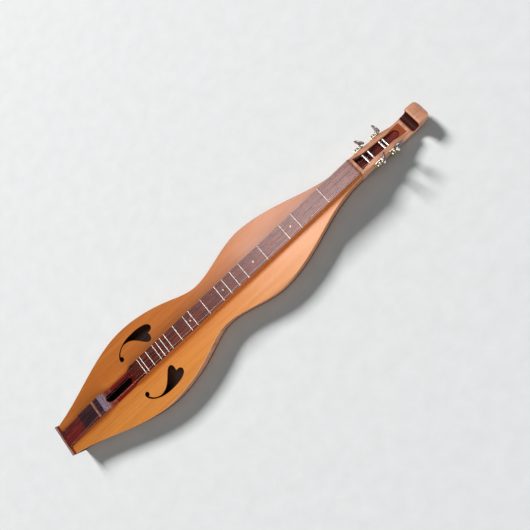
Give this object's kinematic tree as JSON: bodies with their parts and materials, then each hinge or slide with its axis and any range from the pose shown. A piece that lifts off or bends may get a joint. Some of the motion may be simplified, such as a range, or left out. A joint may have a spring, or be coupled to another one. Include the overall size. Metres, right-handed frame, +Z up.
{
  "type": "mountain dulcimer",
  "caption": "Hourglass mountain dulcimer with flourish-heart sound holes, a stepped fretboard with a strum hollow, geared tuners and a scroll peghead.",
  "frame": {"origin": "middle of the bounding box in plan, on the plane the flat back rests on", "axes": "+X from the tail to the peghead, +Y to the side of the doubled melody strings, +Z up from the back to the strings"},
  "size_m": [1, 0.1896, 0.0672],
  "materials": {
    "top_wood": "satin oiled softwood, straight grain along the body",
    "body_wood": "satin hardwood",
    "head_wood": "satin hardwood",
    "base_wood": "satin reddish hardwood",
    "overlay_wood": "satin dark hardwood",
    "bridge_wood": "bare pale hardwood",
    "inner_wood": "unfinished",
    "nickel": "bright nickel plate",
    "steel": "polished steel",
    "brass": "bright brass"
  },
  "bodies": {
    "instrument": {"soundboard": "top_wood", "back_panel": "body_wood", "side_left": "body_wood", "side_right": "body_wood", "tail_block": "inner_wood", "tail_cap": "base_wood", "back_brace": "inner_wood", "peghead": "head_wood", "fretboard_base": "base_wood", "fretboard_overlay": "overlay_wood", "tail_overlay": "overlay_wood", "nut": "body_wood", "bridge": "bridge_wood", "fret_01": "nickel", "fret_02": "nickel", "fret_03": "nickel", "fret_04": "nickel", "fret_05": "nickel", "fret_06": "nickel", "fret_07": "nickel", "fret_08": "nickel", "fret_09": "nickel", "fret_10": "nickel", "fret_11": "nickel", "fret_12": "nickel", "fret_13": "nickel", "fret_14": "nickel", "fret_15": "nickel", "fret_16": "nickel", "fret_17": "nickel", "fret_18": "nickel", "fret_19": "nickel", "hitch_pin_1": "steel", "string_1": "steel", "hitch_pin_2": "steel", "string_2": "steel", "hitch_pin_3": "steel", "string_3": "steel", "hitch_pin_4": "steel", "string_4": "steel", "tuner_1_plate": "nickel", "tuner_2_plate": "nickel", "tuner_3_plate": "nickel", "tuner_4_plate": "nickel"},
    "knob_1": {"tuner_1_worm": "steel", "tuner_1_button": "nickel"},
    "winder_1": {"tuner_1_post": "steel", "tuner_1_gear": "brass"},
    "knob_2": {"tuner_2_worm": "steel", "tuner_2_button": "nickel"},
    "winder_2": {"tuner_2_post": "steel", "tuner_2_gear": "brass"},
    "knob_3": {"tuner_3_worm": "steel", "tuner_3_button": "nickel"},
    "winder_3": {"tuner_3_post": "steel", "tuner_3_gear": "brass"},
    "knob_4": {"tuner_4_worm": "steel", "tuner_4_button": "nickel"},
    "winder_4": {"tuner_4_post": "steel", "tuner_4_gear": "brass"}
  },
  "joints": [
    {"name": "knob_1_turn", "type": "hinge", "parent": "instrument", "child": "knob_1", "pos_m": [0.3655, 0.026, 0.036], "axis": [0, 0, 1], "continuous": true},
    {"name": "post_1_turn", "type": "hinge", "parent": "instrument", "child": "winder_1", "pos_m": [0.357, 0, 0.036], "axis": [0, 1, 0], "continuous": true},
    {"name": "knob_2_turn", "type": "hinge", "parent": "instrument", "child": "knob_2", "pos_m": [0.406, 0.026, 0.0285], "axis": [0, 0, 1], "continuous": true},
    {"name": "post_2_turn", "type": "hinge", "parent": "instrument", "child": "winder_2", "pos_m": [0.3975, 0, 0.0285], "axis": [0, 1, 0], "continuous": true},
    {"name": "knob_3_turn", "type": "hinge", "parent": "instrument", "child": "knob_3", "pos_m": [0.4145, -0.026, 0.0262], "axis": [0, 0, 1], "continuous": true},
    {"name": "post_3_turn", "type": "hinge", "parent": "instrument", "child": "winder_3", "pos_m": [0.406, 0, 0.0262], "axis": [0, 1, 0], "continuous": true},
    {"name": "knob_4_turn", "type": "hinge", "parent": "instrument", "child": "knob_4", "pos_m": [0.3785, -0.026, 0.0335], "axis": [0, 0, 1], "continuous": true},
    {"name": "post_4_turn", "type": "hinge", "parent": "instrument", "child": "winder_4", "pos_m": [0.37, 0, 0.0335], "axis": [0, 1, 0], "continuous": true}
  ],
  "couplings": [
    {"joint": "post_1_turn", "follows": "knob_1_turn", "ratio": 0.0625},
    {"joint": "post_2_turn", "follows": "knob_2_turn", "ratio": 0.0625},
    {"joint": "post_3_turn", "follows": "knob_3_turn", "ratio": 0.0625},
    {"joint": "post_4_turn", "follows": "knob_4_turn", "ratio": 0.0625}
  ]
}
